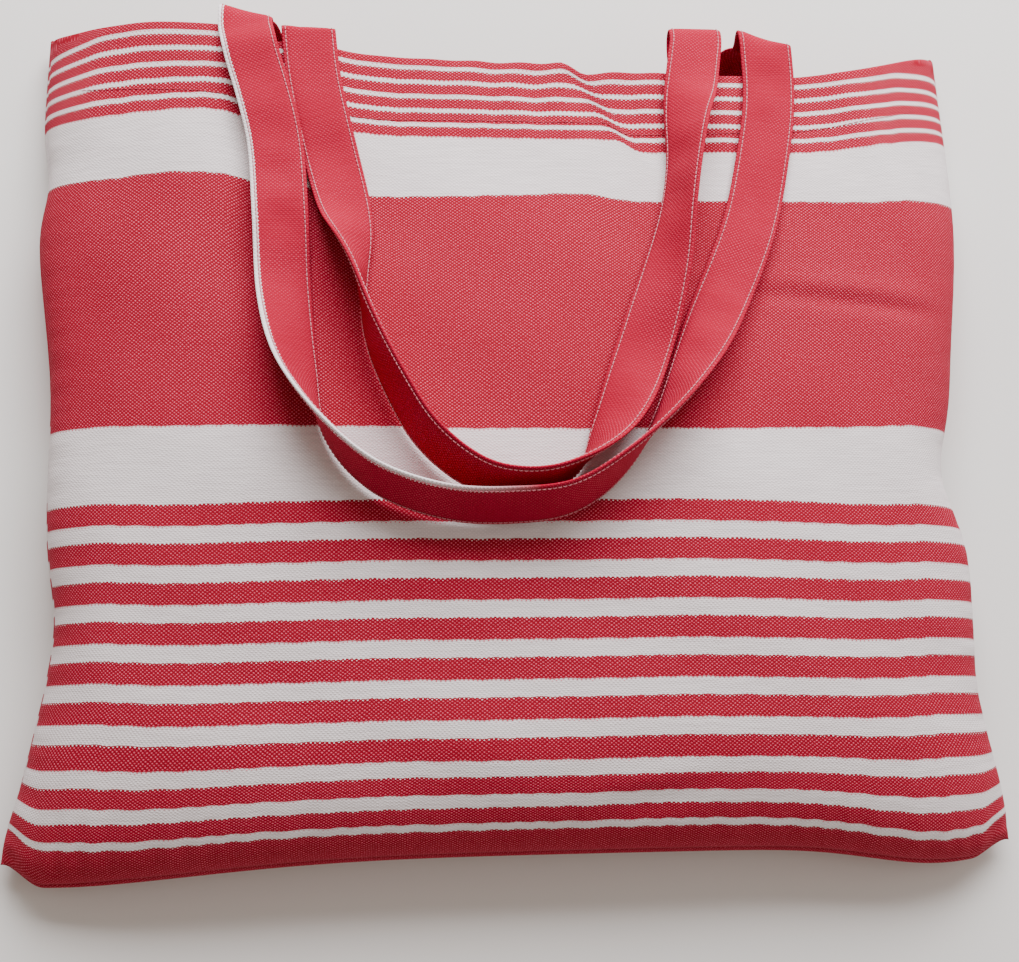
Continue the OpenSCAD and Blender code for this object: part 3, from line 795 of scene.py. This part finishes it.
def strap_mesh(name, rings, material):
    centre, wide, out, s = rings
    a = np.sin(np.linspace(-1, 1, 29) * math.pi / 2) * STRAP_WIDE / 2
    half = STRAP_THICK / 2 * np.sqrt(1 - 0.97 * np.abs(a / (STRAP_WIDE / 2)) ** 10)
    half = half - 0.00035 * np.exp(-((np.abs(a) - TOPSTITCH) / 0.0006) ** 2)
    across = np.concatenate([a, a[::-1]])
    lift = np.concatenate([half, -half])
    creased = 0.0004 * np.sin(s * 210 + 2 * np.sin(s * 37))[:, None] * (1 - (across / 0.0125) ** 2)[None] ** 2
    points = centre[:, None] + across[None, :, None] * wide[:, None] \
        + (lift[None] + creased)[..., None] * out[:, None]
    rows, cols = points.shape[:2]
    at = np.arange(rows * cols).reshape(rows, cols)
    nxt = np.roll(at, -1, axis=1)
    sides = np.stack([at[:-1], at[1:], nxt[1:], nxt[:-1]], -1).reshape(-1, 4)
    n = cols // 2
    low, up = at[:, :n], at[:, n:][:, ::-1]
    caps = [np.stack([row_low[:-1], row_low[1:], row_up[1:], row_up[:-1]], -1)[:, ::step]
            for row_low, row_up, step in ((low[0], up[0], 1), (low[-1], up[-1], -1))]
    uv = np.stack(np.broadcast_arrays(across[None, :], s[:, None]), -1).reshape(-1, 2)
    return finish_mesh(name, points.reshape(-1, 3), np.concatenate([sides] + caps), uv, material)


def topstitch(name, rings, sewn):
    """Rows of thread just inside both edges, on both faces of the strap, between its sewn ends."""
    centre, wide, out, s = rings
    keep = (s > sewn) & (s < s[-1] - sewn)
    lines = []
    for row in (-TOPSTITCH, TOPSTITCH):
        for face in (1, -1):
            lines.append((centre[keep] + row * wide[keep] + face * 0.00085 * out[keep], face * out[keep]))
    return sew(name, lines, 0.0022, 0.0016, 0.00055, pink_thread)


front_route = [(-94, 182.5, 0), (-91, 155, 0), (-84, 122, 0), (-77, 92, 18), (-71, 62, 70), (-66, 34, 100),
               (-55, 6, 112), (-40, -19, 115), (-18, -36, 114), (5, -39, 108), (25, -31, 92), (41, -11, 45),
               (55, 22, 12), (67, 60, 36), (74, 90, 58), (79, 118, 58), (82, 140, 40), (86, 160, 10),
               (90, 182.5, 0)]
back_route = [(-123, 182.5, 0), (-119, 165, 0), (-114, 148, 0), (-108, 122, 0), (-105, 86, 8), (-103, 50, 20),
              (-97, 16, 48), (-85, -14, 92), (-64, -36, 110), (-35, -47, 116), (-6, -49, 118), (22, -45, 114),
              (46, -28, 100), (68, 0, 66), (90, 42, 18), (109, 86, 4), (120, 130, 0), (124, 158, 0),
              (124, 182.5, 0)]

front_rings = whole_strap(front_route, [sewn_front_end(-0.093), sewn_front_end(0.090)], (-0.094, 0.090), -90,
                          (-0.003, 0.008), (0.40, 0.0))
back_ends = [sewn_back_end(-0.113, -0.123, 0.008), sewn_back_end(0.113, 0.124, 0.004)]
back_rings = whole_strap(back_route, back_ends,
                         (-0.123, 0.124), -30, (0.009, 0.004), (0.35, -0.55),
                         over=lambda x, y: (x < 0) * ease((y - 0.055) / 0.04) * ease((0.183 - y) / 0.012))

for word, rings, selvedge, sewn in (("front", front_rings, 0, 0.045), ("back", back_rings, 0.40, 0.075)):
    strap = strap_mesh(word + "_strap", rings, strap_cotton("red_strap_" + word, selvedge))
    seams = topstitch(word + "_strap_topstitch", rings, sewn)
    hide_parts(word + "_handle", word + "_handle_left_end", word + "_handle_right_end")
    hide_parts(word + "_handle_thread")
    for piece in (strap, seams):
        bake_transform(piece)

# ---------------------------------------------------------------- sewn rows on the bag
# One row of thread holds each hem. A box with a cross of thread holds each end of a strap.


def sewn_hem(name, node, points_of, lift):
    x = np.linspace(-0.2, 0.2, 160)
    points = points_of(*to_uv(x, mouth_line(x) - 0.0316))
    n = np.tile([0.0, 0.0, 1.0], (len(points), 1))
    row = sew(name, [(points + lift * n, n)], 0.0030, 0.0022, 0.0003, red_thread)
    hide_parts(node)
    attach(row, "bag")


sewn_hem("front_hem_row", "front_hem_thread", front_points, 0.0001)
sewn_hem("back_hem_row", "back_hem_thread", back_points, 0.0028)


def box_and_cross(x0, height, sign):
    w, l, y0 = 0.0085, 0.020, float(mouth_line(x0)) - 0.027
    corners = [(-w, 0), (w, 0), (w, l), (-w, l), (-w, 0), (w, l), (-w, l), (w, 0)]
    lines = []
    for a, b in zip(corners[:-1], corners[1:]):
        t = np.linspace(0, 1, 12)[:, None]
        xy = np.array([x0, y0]) + np.array(a) * (1 - t) + np.array(b) * t
        z = height(xy[:, 0], xy[:, 1])
        lines.append((np.column_stack([xy, z]), np.tile([0.0, 0.0, sign], (12, 1))))
    return lines


def under_front(x, y):
    return front_height(*to_uv(x, y)) - UNDER_FRONT - STRAP_THICK / 2


def over_back(x, y):
    return back_height(*to_uv(x, y)) + OVER_BACK + STRAP_THICK / 2


for word, x0, height, sign in (("front", 0.091, under_front, -1.0), ("back", 0.113, over_back, 1.0)):
    tacks = sew(word + "_strap_tacks", box_and_cross(-x0, height, sign) + box_and_cross(x0, height, sign),
                0.0030, 0.0025, 0.00055, red_thread)
    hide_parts(word + "_handle_tacks")
    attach(tacks, "bag")

bpy.context.view_layer.update()
